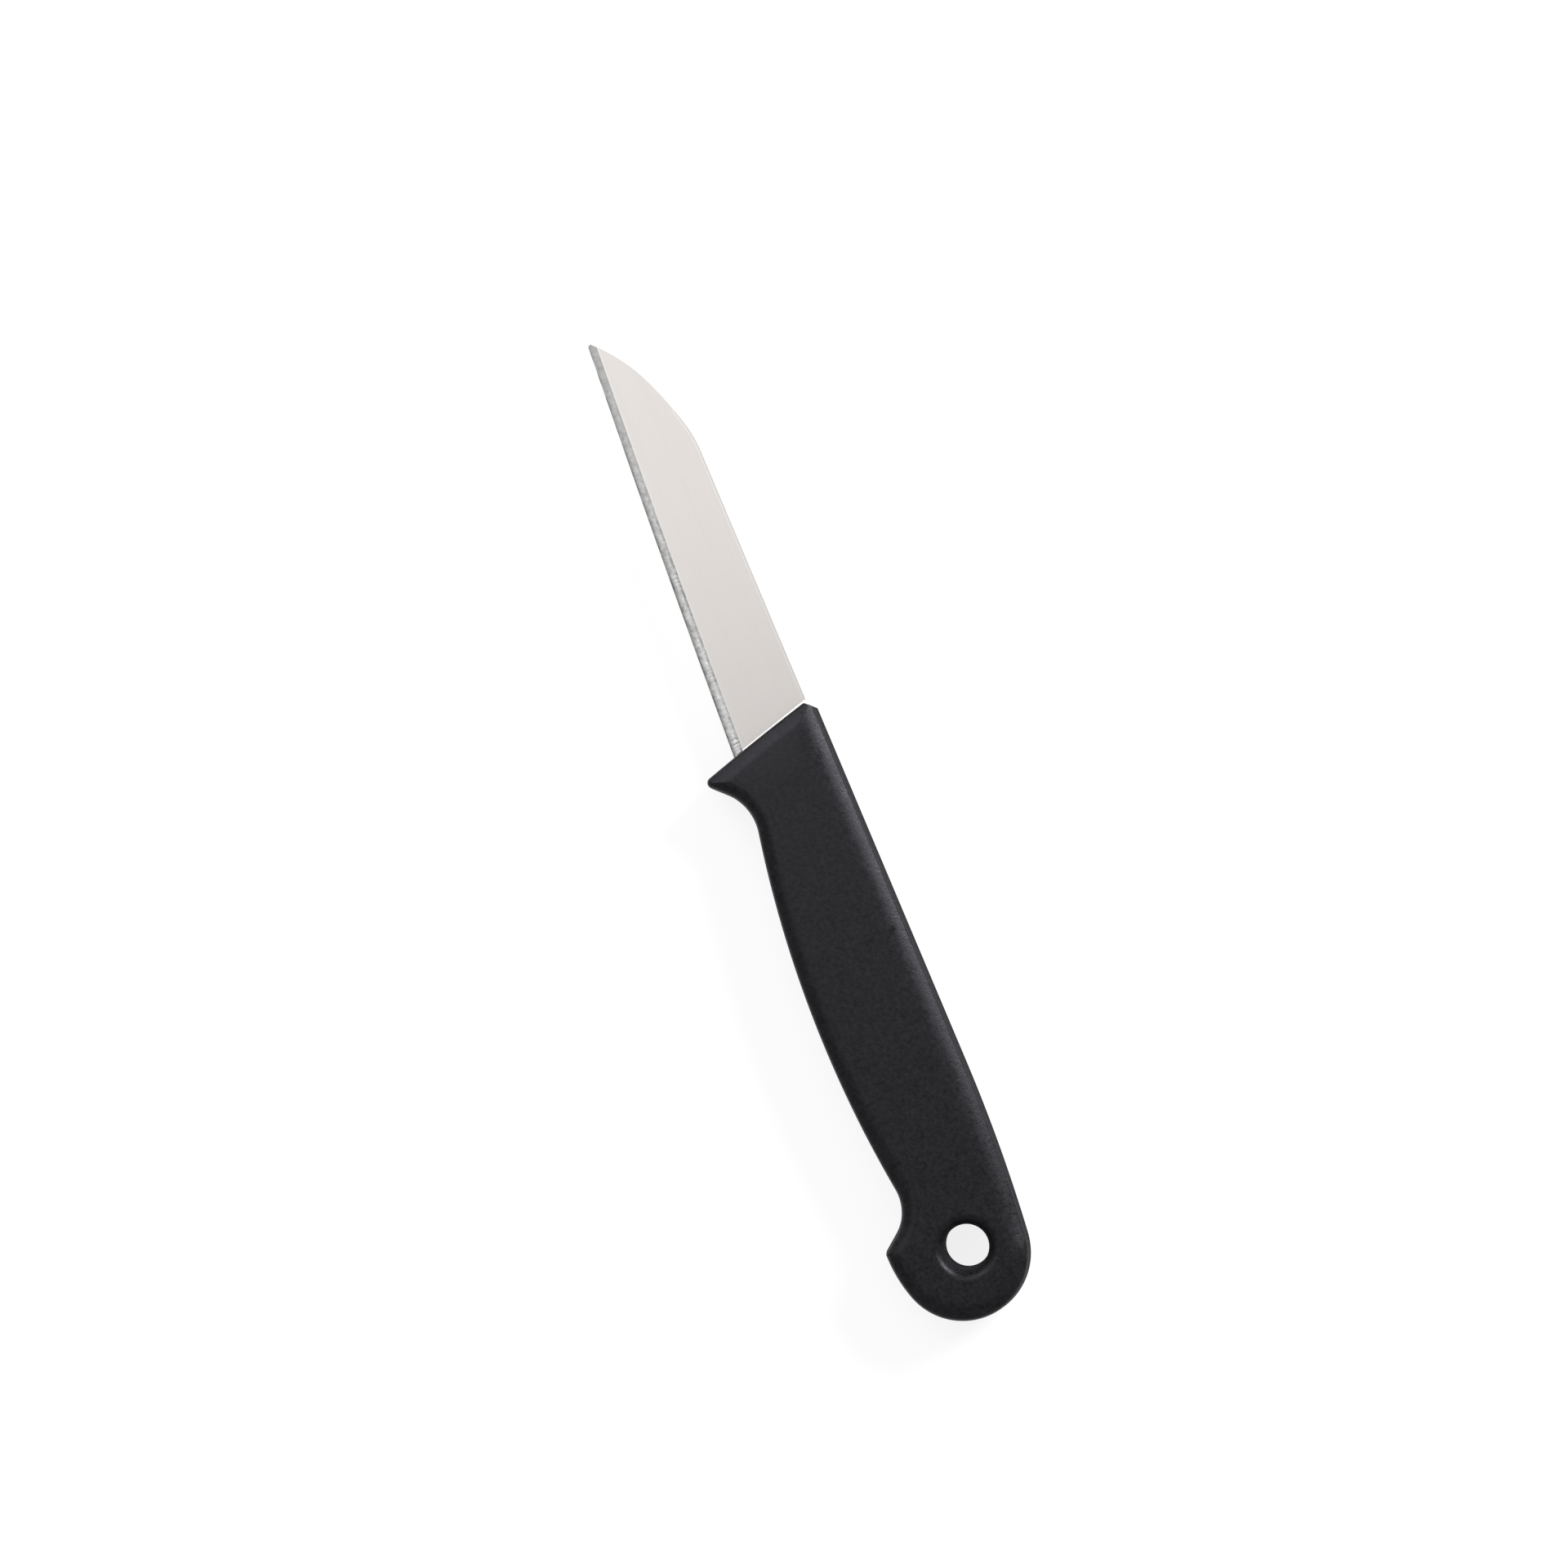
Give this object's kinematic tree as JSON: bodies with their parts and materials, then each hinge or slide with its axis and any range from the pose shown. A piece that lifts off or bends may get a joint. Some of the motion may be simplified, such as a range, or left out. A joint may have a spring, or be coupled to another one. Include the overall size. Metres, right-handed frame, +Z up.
{
  "type": "paring knife",
  "caption": "Small kitchen knife with a sheep-foot steel blade, finely grooved cutting edge and a moulded black plastic handle with a finger guard, beak and hang hole.",
  "frame": {"origin": "below the middle of the whole knife, on the surface that it lies on", "axes": "+X from the point to the butt, +Y from the cutting edge to the spine, +Z up out of the face that the picture shows"},
  "size_m": [0.1756, 0.0244, 0.012],
  "materials": {
    "steel": "satin, brushed along the blade",
    "black_plastic": "fine matt moulded grain"
  },
  "bodies": {
    "root": {"blade": "steel", "handle": "black_plastic"}
  },
  "joints": []
}
